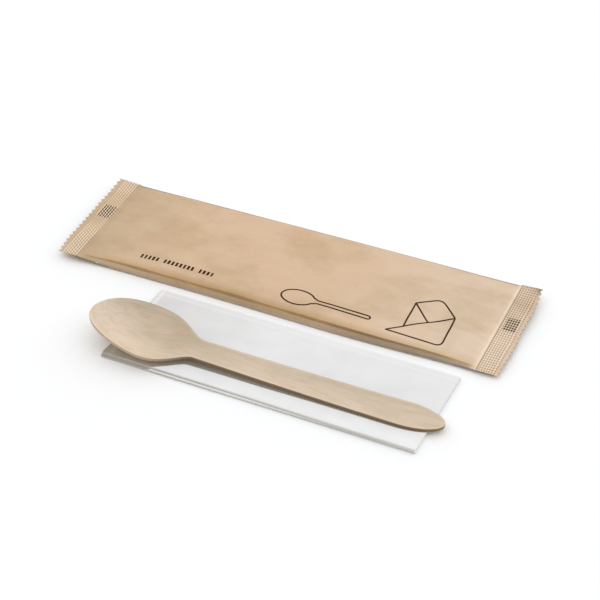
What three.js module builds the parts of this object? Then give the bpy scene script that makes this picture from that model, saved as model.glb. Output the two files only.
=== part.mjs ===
// A cutlery pack: a sealed flow-wrap pouch of kraft paper and, laid out beside it, a pressed birch
// spoon lying on a folded paper napkin, which are what such a pouch holds.
//
// Units are millimetres and +Z is up. +X runs along the pouch, +Y runs from the spoon towards the
// pouch, and the origin is on the table, at the centre of the whole pack's outline.
import * as THREE from 'three';

// ---- Driving dimensions ----

const POUCH_LENGTH = 208;
const POUCH_WIDTH = 60;
const PAPER = 0.4; // two layers of kraft paper, pressed together in an end seal
const SEAL_HEIGHT = 2.2; // underside of an end seal above the table
const LEFT_SEAL = { length: 10, ridges: 6 };
const RIGHT_SEAL = { length: 9, ridges: 6 };
const RIDGE_PITCH = 1.2;
const RIDGE_HEIGHT = 0.3;
const TEETH = 20; // across each zigzag-cut end
const TOOTH_DEPTH = 1.3;
const WALL_WIDTH = 59; // across the filled middle, at half height
const SHOULDER_WIDTH = 57.4;
const SHOULDER_HEIGHT = 5.1; // the crease where the top face meets a side wall
const CROWN = 1.2; // rise of the top face above its shoulders
const LEFT_SWELL = 46; // length over which the top face rises from a seal to its full height
const RIGHT_SWELL = 84;
const UNDER_SWELL = 25; // length over which the underside comes down from a seal to the table
const BODY_STEPS = 26;
const SEAM_TEETH = 2; // half the lap seam's width, in teeth
const SEAM_THICKNESS = 0.3; // the lap seam stands below the rest of the underside by this much
const GROUND_ROUND = 0.7; // how far the underside lifts at the foot of a side wall

const SPOON_LENGTH = 160;
const SPOON_THICKNESS = 1.5;
const BOWL_LENGTH = 51;
const BOWL_HALF_WIDTH = 16.1;
const BOWL_WIDEST = 28; // distance of the bowl's widest and lowest place from its tip
const NECK_HALF_WIDTH = 6;
const END_HALF_WIDTH = 7.7;
const END_ROUNDING = 19; // length of the handle's rounded end
const TIP_HEIGHT = 11.8; // top of the spoon above the table at its tip, neck and end
const NECK_HEIGHT = 5.8;
const END_HEIGHT = 3.5;
const RIM_FALL = 45; // distance from the tip over which the rim comes down to the neck's height
const BOTTOM_HEIGHT = 3.5; // inside of the bowl above the table, at its lowest place
const BOWL_SHOULDER = 2.2; // how late the outline turns in past the bowl's widest place
const NECK_FLARE = 1.7; // how softly it then runs out into the neck
const HANDLE_SAG = 1.8; // over 1: the handle comes down more steeply near the neck
const SPOON_STEPS = 56;
const SPOON_ROWS = 5; // rows of points on each side of the spoon's middle line

const NAPKIN_LENGTH = 141;
const NAPKIN_WIDTH = 50;
const LEAF_THICKNESS = 0.2;
const LEAF_PITCH = 0.32;
const NAPKIN_TURN = THREE.MathUtils.degToRad(-1);
const FOLD_STEPS = 6;

// Where the three pieces lie on the table
const SPOON_TIP_X = -64;
const SPOON_TO_POUCH = 68.9; // between the spoon's and the pouch's middle lines
const NAPKIN_X = 20;
const NAPKIN_TO_POUCH = 60.3;

// ---- Placement, worked out from the above ----

const NAPKIN_REACH =
  (NAPKIN_LENGTH * Math.abs(Math.sin(NAPKIN_TURN)) + NAPKIN_WIDTH * Math.cos(NAPKIN_TURN)) / 2;
const POUCH_Y = (NAPKIN_TO_POUCH + NAPKIN_REACH - POUCH_WIDTH / 2) / 2;
const SPOON_Y = POUCH_Y - SPOON_TO_POUCH;
const NAPKIN_Y = POUCH_Y - NAPKIN_TO_POUCH;

const lerp = THREE.MathUtils.lerp;
const clamp = THREE.MathUtils.clamp;

// ---- Closed meshes ----

// A closed mesh from its points ([x, y, z] each) and its faces, convex polygons given by the indices
// of their corners, anticlockwise as seen from outside.
function solidGeometry(points, faces) {
  const triangles = faces.flatMap((face) =>
    face.slice(2).flatMap((corner, i) => [face[0], face[i + 1], corner]));
  const geometry = new THREE.BufferGeometry();
  geometry.setAttribute('position', new THREE.Float32BufferAttribute(points.flat(), 3));
  geometry.setIndex(triangles);
  geometry.computeVertexNormals();
  return geometry;
}

// The walls of a loft through closed loops of points, each loop running anticlockwise as seen from
// +X, one after another towards +X. Returns the faces between them; every loop has `count` points.
function loftWalls(loops, count) {
  const faces = [];
  for (let s = 0; s < loops - 1; s += 1) {
    for (let i = 0; i < count; i += 1) {
      const next = (i + 1) % count;
      const near = s * count;
      const far = near + count;
      faces.push([near + i, far + i, far + next, near + next].reverse());
    }
  }
  return faces;
}

// ---- Pouch ----

const HALF_TEETH = TEETH / 2;
const TOOTH_PITCH = POUCH_WIDTH / TEETH;

// How full the pouch is at x, from 0 at a seal to 1 in its filled middle, which starts at the given
// distance from each seal.
function swell(x, leftSwell, rightSwell) {
  const fromLeft = x + POUCH_LENGTH / 2 - LEFT_SEAL.length;
  const fromRight = POUCH_LENGTH / 2 - RIGHT_SEAL.length - x;
  const rise = (t) => t * (2 - t);
  return rise(clamp(fromLeft / leftSwell, 0, 1)) * rise(clamp(fromRight / rightSwell, 0, 1));
}

// The filled section's top face and underside, at tooth row k from -HALF_TEETH to HALF_TEETH.
function filledTop(k) {
  if (Math.abs(k) === HALF_TEETH) {
    return [Math.sign(k) * WALL_WIDTH / 2, SHOULDER_HEIGHT / 2];
  }
  const u = k / (HALF_TEETH - 1);
  return [u * SHOULDER_WIDTH / 2, SHOULDER_HEIGHT + CROWN * (1 - u * u)];
}

function filledUnderside(k) {
  const row = Math.abs(k);
  if (row <= SEAM_TEETH) {
    return [k * TOOTH_PITCH, 0];
  }
  const seamEdge = SEAM_TEETH * TOOTH_PITCH + SEAM_THICKNESS;
  const u = (row - SEAM_TEETH - 1) / (HALF_TEETH - SEAM_TEETH - 1);
  const lift = row === HALF_TEETH ? GROUND_ROUND : 0;
  return [Math.sign(k) * lerp(seamEdge, WALL_WIDTH / 2, u), SEAM_THICKNESS + lift];
}

// One section of the pouch: the underside from -Y to +Y, then the top face back to -Y.
function pouchSection(x, lift) {
  const topSwell = swell(x, LEFT_SWELL, RIGHT_SWELL);
  const underSwell = swell(x, UNDER_SWELL, UNDER_SWELL);
  const rows = Array.from({ length: TEETH + 1 }, (_, i) => i - HALF_TEETH);
  const place = (k, filled, flatZ, full) =>
    [x, lerp(k * TOOTH_PITCH, filled[0], full), lerp(flatZ + lift, filled[1], full)];
  const under = rows.map((k) => place(k, filledUnderside(k), SEAL_HEIGHT, underSwell));
  const top = rows.map((k) => place(k, filledTop(k), SEAL_HEIGHT + PAPER, topSwell)).reverse();
  return [...under, ...top];
}

// The stations of one end seal, as distances from the pouch's end with the lift of each: a plain
// strip by the cut edge, then pressed ridges.
function sealStations(seal) {
  const stations = [{ inset: TOOTH_DEPTH, lift: 0 }];
  const ridgesStart = seal.length - seal.ridges * RIDGE_PITCH;
  for (let i = 0; i <= 2 * seal.ridges; i += 1) {
    stations.push({ inset: ridgesStart + i * RIDGE_PITCH / 2, lift: (i % 2) * RIDGE_HEIGHT });
  }
  return stations;
}

function pouchStations() {
  const end = POUCH_LENGTH / 2;
  const left = sealStations(LEFT_SEAL).map((s) => ({ x: s.inset - end, lift: s.lift }));
  const right = sealStations(RIGHT_SEAL).map((s) => ({ x: end - s.inset, lift: s.lift })).reverse();
  const middle = [];
  for (let i = 1; i < BODY_STEPS; i += 1) {
    const x = lerp(LEFT_SEAL.length - end, end - RIGHT_SEAL.length, i / BODY_STEPS);
    middle.push({ x, lift: 0 });
  }
  return [...left, ...middle, ...right];
}

// The zigzag at one end: a three-cornered tooth on each row between two points of the end section.
// `first` is the index of that section's first point, and `direction` is -1 or 1 along X.
function addTeeth(points, faces, first, direction) {
  const count = 2 * (TEETH + 1);
  for (let i = 0; i < TEETH; i += 1) {
    const under = [first + i, first + i + 1];
    const top = [first + count - 1 - i, first + count - 2 - i];
    const tip = points.length;
    for (const pair of [under, top]) {
      const middle = pair.map((p) => points[p]);
      const y = (middle[0][1] + middle[1][1]) / 2;
      points.push([middle[0][0] + direction * TOOTH_DEPTH, y, middle[0][2]]);
    }
    const tooth = [
      [under[0], tip, under[1]],
      [top[0], top[1], tip + 1],
      [under[0], top[0], tip + 1, tip],
      [under[1], tip, tip + 1, top[1]],
    ];
    faces.push(...tooth.map((face) => (direction > 0 ? face.reverse() : face)));
  }
}

function pouchGeometry() {
  const sections = pouchStations().map((s) => pouchSection(s.x, s.lift));
  const count = sections[0].length;
  const points = sections.flat();
  const faces = loftWalls(sections.length, count);
  addTeeth(points, faces, 0, -1);
  addTeeth(points, faces, (sections.length - 1) * count, 1);
  return solidGeometry(points, faces);
}

// ---- Spoon ----

// A smooth fall from 1 to 0 as t goes from 0 to 1, level at both ends.
function fall(t) {
  return (1 + Math.cos(Math.PI * clamp(t, 0, 1))) / 2;
}

// Half the spoon's width at distance s from its tip: a half ellipse to the bowl's widest place, a
// bell that runs out into the neck, then a handle that widens to its half-round end.
function spoonHalfWidth(s) {
  if (s <= BOWL_WIDEST) {
    const t = 1 - s / BOWL_WIDEST;
    return BOWL_HALF_WIDTH * Math.sqrt(1 - t * t);
  }
  if (s <= BOWL_LENGTH) {
    const t = (s - BOWL_WIDEST) / (BOWL_LENGTH - BOWL_WIDEST);
    return lerp(NECK_HALF_WIDTH, BOWL_HALF_WIDTH, (1 - t ** BOWL_SHOULDER) ** NECK_FLARE);
  }
  const along = (s - BOWL_LENGTH) / (SPOON_LENGTH - BOWL_LENGTH);
  const q = Math.max((s - SPOON_LENGTH + END_ROUNDING) / END_ROUNDING, 0);
  return lerp(NECK_HALF_WIDTH, END_HALF_WIDTH, along) * Math.sqrt(1 - q * q);
}

// The height of the spoon's top surface at its outline, which comes down from the tip to the neck
// and then along the handle.
function spoonRimHeight(s) {
  if (s < BOWL_LENGTH) {
    return lerp(NECK_HEIGHT, TIP_HEIGHT, fall(s / RIM_FALL));
  }
  const left = (SPOON_LENGTH - s) / (SPOON_LENGTH - BOWL_LENGTH);
  return lerp(END_HEIGHT, NECK_HEIGHT, left ** HANDLE_SAG);
}

// The height of the top surface at the spoon's middle line, which is the bottom of the bowl.
function spoonMiddleHeight(s) {
  if (s < BOWL_WIDEST) {
    return lerp(BOTTOM_HEIGHT, TIP_HEIGHT, (1 - s / BOWL_WIDEST) ** 2);
  }
  if (s < BOWL_LENGTH) {
    const t = (s - BOWL_WIDEST) / (BOWL_LENGTH - BOWL_WIDEST);
    return lerp(NECK_HEIGHT, BOTTOM_HEIGHT, fall(t));
  }
  return spoonRimHeight(s);
}

function spoonSection(s) {
  const half = spoonHalfWidth(s);
  const under = [];
  const top = [];
  for (let i = -SPOON_ROWS; i <= SPOON_ROWS; i += 1) {
    const u = i / SPOON_ROWS;
    const z = lerp(spoonMiddleHeight(s), spoonRimHeight(s), u * u);
    top.unshift([s, u * half, z]);
    under.push([s, u * half, z - SPOON_THICKNESS]);
  }
  return [...under, ...top];
}

function spoonGeometry() {
  const sections = [];
  for (let i = 1; i < SPOON_STEPS; i += 1) {
    const s = SPOON_LENGTH * (1 - Math.cos(Math.PI * i / SPOON_STEPS)) / 2;
    sections.push(spoonSection(s));
  }
  const count = sections[0].length;
  const points = sections.flat();
  const faces = loftWalls(sections.length, count);
  addSpoonEnd(points, faces, 0, count, 0);
  addSpoonEnd(points, faces, (sections.length - 1) * count, count, SPOON_LENGTH);
  return solidGeometry(points, faces);
}

// Closes one end of the spoon to an upright edge at its very tip or end.
function addSpoonEnd(points, faces, first, count, s) {
  const rim = spoonRimHeight(s);
  const low = points.length;
  const high = low + 1;
  points.push([s, 0, rim - SPOON_THICKNESS], [s, 0, rim]);
  const half = count / 2;
  const ring = [];
  for (let i = 0; i < half - 1; i += 1) {
    ring.push([first + i, low, first + i + 1]);
    ring.push([first + half + i, high, first + half + i + 1]);
  }
  ring.push([first + half - 1, low, high, first + half]);
  ring.push([first + count - 1, high, low, first]);
  faces.push(...ring.map((face) => (s > 0 ? face.reverse() : face)));
}

// ---- Napkin ----

// The line that the folded sheet follows in the napkin's cross-section: folded in three like a
// letter, then in half, so that one half turn wraps the next at the folded edge (+Y).
// Returns [y, z] points, from the sheet's first edge to its last.
function foldedLine() {
  const line = [];
  const level = (i) => LEAF_THICKNESS / 2 + i * LEAF_PITCH;
  const widest = (level(5) - level(0) + LEAF_THICKNESS) / 2;
  const foldY = NAPKIN_WIDTH / 2 - widest;
  const openY = -NAPKIN_WIDTH / 2 + (LEAF_PITCH + LEAF_THICKNESS) / 2;
  const turn = (y, from, to, side) => {
    const middle = (level(from) + level(to)) / 2;
    const radius = (level(to) - level(from)) / 2;
    for (let i = 0; i <= FOLD_STEPS; i += 1) {
      const angle = Math.PI * (i / FOLD_STEPS - 0.5);
      const across = side * Math.abs(radius) * Math.cos(angle);
      line.push([y + across, middle + radius * Math.sin(angle)]);
    }
  };
  line.push([openY, level(0)]);
  turn(foldY, 0, 5, 1);
  turn(openY, 5, 4, -1);
  turn(foldY, 4, 1, 1);
  turn(openY, 1, 2, -1);
  turn(foldY, 2, 3, 1);
  line.push([openY, level(3)]);
  return line;
}

// The outline of a strip of even thickness that follows a line, as a closed list of points.
function thickened(line, thickness) {
  const side = (sign) => line.map(([y, z], i) => {
    const before = line[Math.max(i - 1, 0)];
    const after = line[Math.min(i + 1, line.length - 1)];
    const length = Math.hypot(after[0] - before[0], after[1] - before[1]);
    const normal = [-(after[1] - before[1]) / length, (after[0] - before[0]) / length];
    return new THREE.Vector2(
      y + sign * normal[0] * thickness / 2,
      z + sign * normal[1] * thickness / 2,
    );
  });
  return [...side(1), ...side(-1).reverse()];
}

function napkinGeometry() {
  const outline = new THREE.Shape(thickened(foldedLine(), LEAF_THICKNESS));
  const geometry = new THREE.ExtrudeGeometry(outline, {
    depth: NAPKIN_LENGTH,
    bevelEnabled: false,
  });
  // The section's own X and Y become the napkin's Y and Z, and its depth runs along X.
  geometry.applyMatrix4(new THREE.Matrix4().set(
    0, 0, 1, -NAPKIN_LENGTH / 2,
    1, 0, 0, 0,
    0, 1, 0, 0,
    0, 0, 0, 1,
  ));
  return geometry;
}

// ---- The pack ----

function piece(name, geometry, color, roughness) {
  const material = new THREE.MeshStandardMaterial({ color, roughness, metalness: 0 });
  const mesh = new THREE.Mesh(geometry, material);
  mesh.name = name;
  return mesh;
}

const pack = new THREE.Group();

const pouch = piece('pouch', pouchGeometry(), 0xd6b995, 0.8);
pouch.position.set(0, POUCH_Y, 0);
pack.add(pouch);

const spoon = piece('spoon', spoonGeometry(), 0xd0b99c, 0.7);
spoon.position.set(SPOON_TIP_X, SPOON_Y, 0);
pack.add(spoon);

const napkin = piece('napkin', napkinGeometry(), 0xe9e9e6, 0.95);
napkin.position.set(NAPKIN_X, NAPKIN_Y, 0);
napkin.rotation.z = NAPKIN_TURN;
pack.add(napkin);

export default pack;
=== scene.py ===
# The looks of a cutlery pack: a sealed kraft-paper pouch and, beside it, a birch spoon on a folded
# paper napkin. Shapes are worked out in millimetres and handed to Blender in metres, in the frame
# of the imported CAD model.
import math

import bmesh
import bpy
import numpy as np
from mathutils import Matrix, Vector


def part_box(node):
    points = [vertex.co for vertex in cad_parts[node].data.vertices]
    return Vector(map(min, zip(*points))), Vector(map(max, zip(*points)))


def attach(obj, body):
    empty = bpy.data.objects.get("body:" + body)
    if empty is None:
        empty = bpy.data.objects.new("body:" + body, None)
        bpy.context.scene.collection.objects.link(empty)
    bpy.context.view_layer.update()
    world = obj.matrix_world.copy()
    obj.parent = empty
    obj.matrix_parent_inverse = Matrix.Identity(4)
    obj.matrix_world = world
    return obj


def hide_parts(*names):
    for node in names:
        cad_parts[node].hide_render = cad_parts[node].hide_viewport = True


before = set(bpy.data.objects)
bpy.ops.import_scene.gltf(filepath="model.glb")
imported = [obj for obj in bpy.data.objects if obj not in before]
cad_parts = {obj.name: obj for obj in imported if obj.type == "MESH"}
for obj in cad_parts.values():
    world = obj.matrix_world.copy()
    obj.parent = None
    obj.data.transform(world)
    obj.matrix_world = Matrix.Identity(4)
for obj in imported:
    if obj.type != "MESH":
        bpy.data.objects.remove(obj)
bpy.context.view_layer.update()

MM = 0.001


def box_mm(node):
    low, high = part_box(node)
    return np.array(low) / MM, np.array(high) / MM


# ---- Small mathematics ----

rng = np.random.default_rng(7)


def lerp(a, b, t):
    return a + (b - a) * t


def clamp(t):
    return np.clip(t, 0.0, 1.0)


def smooth(t):
    t = clamp(t)
    return t * t * (3 - 2 * t)


def bump(distance, width):
    """1 at no distance, falling away smoothly over about the given width."""
    return np.exp(-(distance / width) ** 2)


class SoftNoise:
    """Smooth random heights between -1 and 1 over the plane, in cells of the given size."""

    CELLS = 64  # along each side, after which the heights repeat

    def __init__(self, cell_x, cell_y):
        self.cell = (cell_x, cell_y)
        self.values = rng.uniform(-1, 1, (self.CELLS, self.CELLS))

    def at(self, i, j):
        return self.values[i % self.CELLS, j % self.CELLS]

    def __call__(self, x, y):
        gx = np.asarray(x) / self.cell[0] + self.CELLS / 2
        gy = np.asarray(y) / self.cell[1] + self.CELLS / 2
        ix = np.floor(gx).astype(int)
        iy = np.floor(gy).astype(int)
        tx = smooth(gx - ix)
        low = lerp(self.at(ix, iy), self.at(ix + 1, iy), tx)
        high = lerp(self.at(ix, iy + 1), self.at(ix + 1, iy + 1), tx)
        return lerp(low, high, smooth(gy - iy))


# ---- Driving dimensions, in millimetres ----

POUCH_LOW, POUCH_HIGH = box_mm("pouch")
POUCH_CENTRE = (POUCH_LOW + POUCH_HIGH) / 2
POUCH_HALF = (POUCH_HIGH[0] - POUCH_LOW[0]) / 2
POUCH_WIDE = (POUCH_HIGH[1] - POUCH_LOW[1]) / 2  # half the width of the flat pouch
POUCH_TALL = POUCH_HIGH[2]

SEAL_LENGTH = {"left": 10.0, "right": 9.0}
SEAL_UNDER = 2.2  # underside of an end seal above the table
SEAL_THICK = 0.36
RIDGE_PITCH = 1.2
RIDGE_RISE = {"left": 0.25, "right": 0.27}  # height of a pressed ridge above the seal's middle
ROPE_PITCH = 1.8  # along the left seal's ridges, which look like rope
WAFFLE_PITCH = 1.08  # the right seal's small cells, along the pouch and across it
WAFFLE_ROW = 1.5
TOOTH_PITCH = 3.0
TOOTH_DEPTH = 1.3
CORNER_TRIM = 1.3  # the cut runs in at the left end's near corner and the right end's far one
PLAIN_STRIP = {"left": 2.3, "right": 0.9}  # from the teeth to the first ridge
CUT_REACH = 2.6  # how far in the zigzag cut moves the paper
EDGE_OUT = {"left": 0.9, "right": 1.3}  # how far the teeth's tips reach past the CAD's ends
RAGGED = {"left": 0.08, "right": 0.4}  # how uneven the cut is
SWELL = {"left": 46.0, "right": 84.0}  # over which the top rises from a seal
UNDER_SWELL = 25.0  # over which the underside sinks to the table, and the width changes
STEP = 0.2  # share of the rise that comes at once, beside a seal
STEP_LONG = 3.0

ROLL_TALL = 5.5  # height at which the top face starts to roll over to a side wall
WALL_CURVE = 0.85  # a power: under 1 it makes the wall steeper at its foot
ROLL_CURVE = 2.2  # a power: over 1 it rounds the roll off towards the top face
TUCK_REACH = 0.8  # below the crease, measured across the pouch
TUCK_FADE = {"left": 18.0, "right": 45.0}  # over which the tuck fades away towards a seal
TUCK_END = 88.0  # x at which it is gone on the right
SEAM_WIDE = 6.0  # half the width of the lap seam underneath
SEAM_THICK = 0.3
FOOT_CURVE = 1.5  # over which the underside curves up to the side walls' feet
NEAR_BOW = (38.0, 46.0, 1.5)  # middle, spread and depth of the near side's outward bow

# Dents and waves in the paper: how deep they are, and where they fade away
DENT_DEEP = {"broad": 0.34, "small": 0.12}
CREASE_WAVE = 0.4
CALM_EDGE = 5.0  # from the long edges
CALM_SEAL = 12.0  # from the seals
CURL_REACH = 11.0  # how far in from its cut edge a seal is bent
CORNER_CURL = {("left", "near"): (0.2, 8.0), ("left", "far"): (0.5, 7.0),
               ("right", "near"): (-0.2, 9.0), ("right", "far"): (0.5, 5.0)}  # height and spread
SEAL_WAVE = {"left": 0.225, "right": 0.585}

SPOON_LOW, SPOON_HIGH = box_mm("spoon")
SPOON_LONG = SPOON_HIGH[0] - SPOON_LOW[0]
SPOON_THICK = 1.5
SPOON_EDGE = 0.24  # radius of its sanded edges
BOWL_LONG = 50.0
BOWL_WIDE = (SPOON_HIGH[1] - SPOON_LOW[1]) / 2  # half widths, as are the neck's and the end's
BOWL_WIDEST = 28.0  # from the tip
BOWL_SHOULDER, NECK_FLARE = 2.2, 1.7  # powers that shape the outline from there to the neck
NECK_WIDE = 6.0
END_WIDE = 7.7
END_ROUND = 19.0  # length of the handle's rounded end
TIP_TALL = SPOON_HIGH[2]  # heights of the top face
NECK_TALL = 5.8
END_TALL = 3.5
RIM_FALL = 45.0  # from the tip to where the rim is as low as the neck
BOTTOM_TALL = 3.5
HANDLE_SAG = 1.8  # a power: over 1 the handle falls soonest near the neck

NAPKIN_LOW, NAPKIN_HIGH = box_mm("napkin")
NAPKIN_CENTRE = (NAPKIN_LOW + NAPKIN_HIGH) / 2
NAPKIN_TURN = math.radians(-1)
NAPKIN_LONG = 141.0
NAPKIN_WIDE = 50.0
NAPKIN_TALL = NAPKIN_HIGH[2]
LEAVES = 6  # pairs of layers, one above another
TISSUE = 0.14
PAIR_GAP = 0.155  # between the middles of the two layers of a pair


class SideWall:
    """One long side of the filled pouch, as heights at distances inside its folded foot: a sloping
    wall up to a crease, a steep strip up to the shoulder, then the roll on to the top face. The
    crease is tucked in a little under the shoulder."""

    def __init__(self, wide, foot, crease_in, crease, shoulder_in, shoulder, roll_in, tuck):
        self.wide = wide  # from the pouch's middle line to the foot
        self.foot = foot
        self.crease_in, self.crease = crease_in, crease
        self.shoulder_in, self.shoulder = shoulder_in, shoulder
        self.roll_in = roll_in
        self.tuck = tuck

    def tucked(self, inside):
        """How far the paper is drawn in, most at the crease."""
        below = smooth(1 - (self.crease_in - inside) / TUCK_REACH)
        above = 1 - clamp((inside - self.crease_in) / (self.shoulder_in - self.crease_in))
        return self.tuck * np.where(inside < self.crease_in, below, above)

    def height(self, inside):
        wall = lerp(self.foot, self.crease, clamp(inside / self.crease_in) ** WALL_CURVE)
        climb = (inside - self.crease_in) / (self.shoulder_in - self.crease_in)
        steep = lerp(self.crease, self.shoulder, clamp(climb))
        over = clamp((inside - self.shoulder_in) / (self.roll_in - self.shoulder_in))
        roll = lerp(self.shoulder, ROLL_TALL, 1 - (1 - over) ** ROLL_CURVE)
        lower = np.where(inside < self.crease_in, wall, steep)
        return np.where(inside < self.shoulder_in, lower, roll)


NEAR_WALL = SideWall(wide=28.9, foot=0.45, crease_in=1.35, crease=3.4,
                     shoulder_in=1.6, shoulder=4.1, roll_in=5.0, tuck=0.45)
FAR_WALL = SideWall(wide=29.4, foot=0.6, crease_in=0.35, crease=2.6,
                    shoulder_in=0.65, shoulder=4.8, roll_in=3.6, tuck=0.2)


# ---- Mesh building ----

def add_piece(name, points, faces, material, sharp_angle):
    """A mesh from points in millimetres, in the frame of the CAD model, smooth-shaded but for
    edges sharper than the angle, in degrees."""
    mesh = bpy.data.meshes.new(name)
    mesh.from_pydata((np.asarray(points, float) * MM).tolist(), [], faces)
    mesh.validate()
    mesh.shade_smooth()
    mesh.set_sharp_from_angle(angle=math.radians(sharp_angle))
    obj = bpy.data.objects.new(name, mesh)
    bpy.context.scene.collection.objects.link(obj)
    obj.data.materials.append(material)
    return obj


def add_attribute(obj, name, values):
    layer = obj.data.attributes.new(name, "FLOAT", "POINT")
    layer.data.foreach_set("value", np.asarray(values, np.float32))


def grid_faces(ids, flip=False):
    """Four-cornered faces between neighbours in a grid of point numbers."""
    a, b = ids[:-1, :-1], ids[1:, :-1]
    c, d = ids[1:, 1:], ids[:-1, 1:]
    corners = (a, d, c, b) if flip else (a, b, c, d)
    return np.stack([k.ravel() for k in corners], axis=1).tolist()


# ---- Materials ----

class Nodes:
    """Builds one procedural material, with a short call for each kind of node it needs."""

    def __init__(self, name):
        self.material = bpy.data.materials.new(name)
        self.material.use_nodes = True
        self.tree = self.material.node_tree
        self.shader = self.tree.nodes["Principled BSDF"]
        coordinates = self.tree.nodes.new("ShaderNodeTexCoord")
        self.place = coordinates.outputs["Object"]

    def link(self, value, socket):
        if hasattr(value, "is_output"):
            self.tree.links.new(value, socket)
        else:
            socket.default_value = value

    def scaled(self, x, y, z, turn=0.0):
        """The surface's coordinates times x, y, z, where 1 is one cell for each millimetre."""
        node = self.tree.nodes.new("ShaderNodeMapping")
        node.vector_type = "POINT"
        node.inputs["Rotation"].default_value = (0, 0, turn)
        node.inputs["Scale"].default_value = (x / MM, y / MM, z / MM)
        self.link(self.place, node.inputs["Vector"])
        return node.outputs["Vector"]

    def millimetres(self):
        return self.scaled(1.0, 1.0, 1.0)

    def noise(self, vector, detail, roughness=0.5, distortion=0.0):
        node = self.tree.nodes.new("ShaderNodeTexNoise")
        node.inputs["Scale"].default_value = 1.0
        node.inputs["Detail"].default_value = detail
        node.inputs["Roughness"].default_value = roughness
        node.inputs["Distortion"].default_value = distortion
        self.link(vector, node.inputs["Vector"])
        return node.outputs["Fac"]

    def math(self, operation, a, b=0.0):
        node = self.tree.nodes.new("ShaderNodeMath")
        node.operation = operation
        for value, socket in zip((a, b), node.inputs):
            self.link(value, socket)
        return node.outputs["Value"]

    def ramp(self, value, low, high, to_low=0.0, to_high=1.0):
        node = self.tree.nodes.new("ShaderNodeMapRange")
        node.interpolation_type = "SMOOTHSTEP"
        for name, number in (("From Min", low), ("From Max", high),
                             ("To Min", to_low), ("To Max", to_high)):
            node.inputs[name].default_value = number
        self.link(value, node.inputs["Value"])
        return node.outputs["Result"]

    def mix(self, factor, a, b):
        node = self.tree.nodes.new("ShaderNodeMix")
        node.data_type = "RGBA"
        colour_sockets = [s for s in node.inputs if s.type == "RGBA"]
        self.link(factor, node.inputs["Factor"])
        for value, socket in zip((a, b), colour_sockets):
            self.link(value if hasattr(value, "is_output") else (*value, 1.0), socket)
        return [s for s in node.outputs if s.type == "RGBA"][0]

    def tinted(self, colour, tint):
        result = self.mix(1.0, colour, tint)
        result.node.blend_type = "MULTIPLY"
        return result

    def attribute(self, name):
        node = self.tree.nodes.new("ShaderNodeAttribute")
        node.attribute_name = name
        return node.outputs["Fac"]

    def separate(self, vector):
        node = self.tree.nodes.new("ShaderNodeSeparateXYZ")
        self.link(vector, node.inputs["Vector"])
        return node.outputs

    def finish(self, colour, roughness, relief, relief_mm, specular):
        self.link(colour, self.shader.inputs["Base Color"])
        self.link(roughness, self.shader.inputs["Roughness"])
        self.shader.inputs["Specular IOR Level"].default_value = specular
        node = self.tree.nodes.new("ShaderNodeBump")
        node.inputs["Distance"].default_value = relief_mm * MM
        self.link(relief, node.inputs["Height"])
        self.link(node.outputs["Normal"], self.shader.inputs["Normal"])
        return self.material


NO_TINT = (1.0, 1.0, 1.0)


def kraft_paper():
    n = Nodes("kraft_paper")
    cloud = n.noise(n.scaled(0.035, 0.06, 0.1), detail=3.0, roughness=0.55)
    blotch = n.noise(n.scaled(0.12, 0.17, 0.2), detail=4.0, roughness=0.6, distortion=0.3)
    flush = n.noise(n.scaled(0.05, 0.09, 0.1), detail=2.0)
    fibre = n.noise(n.scaled(0.55, 3.2, 3.2), detail=4.0, roughness=0.65, distortion=0.6)
    cross_fibre = n.noise(n.scaled(2.6, 0.6, 2.6, turn=0.5), detail=3.0, roughness=0.6)
    speck = n.ramp(n.noise(n.scaled(1.7, 2.9, 2.9), detail=2.0), 0.66, 0.74)
    colour = n.mix(n.ramp(cloud, 0.36, 0.62), (0.565, 0.4, 0.258), (0.655, 0.478, 0.335))
    colour = n.mix(n.ramp(blotch, 0.35, 0.7, 0.0, 0.3), colour, (0.69, 0.515, 0.37))
    colour = n.mix(n.ramp(flush, 0.48, 0.68, 0.0, 0.45), colour, (0.665, 0.455, 0.315))
    colour = n.mix(n.ramp(fibre, 0.35, 0.7, 0.0, 0.18), colour, (0.45, 0.31, 0.19))
    colour = n.mix(n.math("MULTIPLY", speck, 0.22), colour, (0.38, 0.25, 0.15))
    # Painted shade and painted light: olive and darker at the left end and paler at the right, as
    # the light falls from the right
    along = n.separate(n.millimetres())["X"]
    tint = n.mix(n.ramp(along, -96, -40), (0.86, 0.87, 0.815), (0.985, 0.965, 0.925))
    tint = n.mix(n.ramp(along, 5, 85), tint, (1.03, 1.1, 1.16))
    colour = n.tinted(colour, tint)
    # Painted bounce light makes the near wall greyer at its foot, from the white floor beside it,
    # and painted shade makes it browner along its crease
    colour = n.tinted(colour, n.mix(n.attribute("foot"), NO_TINT, (0.99, 1.12, 1.28)))
    colour = n.tinted(colour, n.mix(n.attribute("crease"), NO_TINT, (1.03, 0.97, 0.78)))
    # The crimp's ridges are painted lighter and its grooves darker, which is painted highlight and
    # painted shade over the pressed paper's own paler crests; the painted shade and highlight lines
    # of the creases come through these colours too
    crimp_and_painted_shading = n.attribute("crimp_and_painted_shading")
    colour = n.mix(n.ramp(crimp_and_painted_shading, 0.0, 0.8, 0.0, 0.8), colour, (0.92, 0.78, 0.62))
    colour = n.mix(n.ramp(crimp_and_painted_shading, -0.05, -0.85, 0.0, 0.72), colour, (0.2, 0.13, 0.075))
    colour = n.mix(n.attribute("ink"), colour, (0.08, 0.038, 0.01))
    relief = n.math("ADD", fibre, n.math("MULTIPLY", cross_fibre, 0.7))
    rough = n.ramp(fibre, 0.2, 0.8, 0.62, 0.78)
    return n.finish(colour, rough, relief, 0.035, 0.3)


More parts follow.
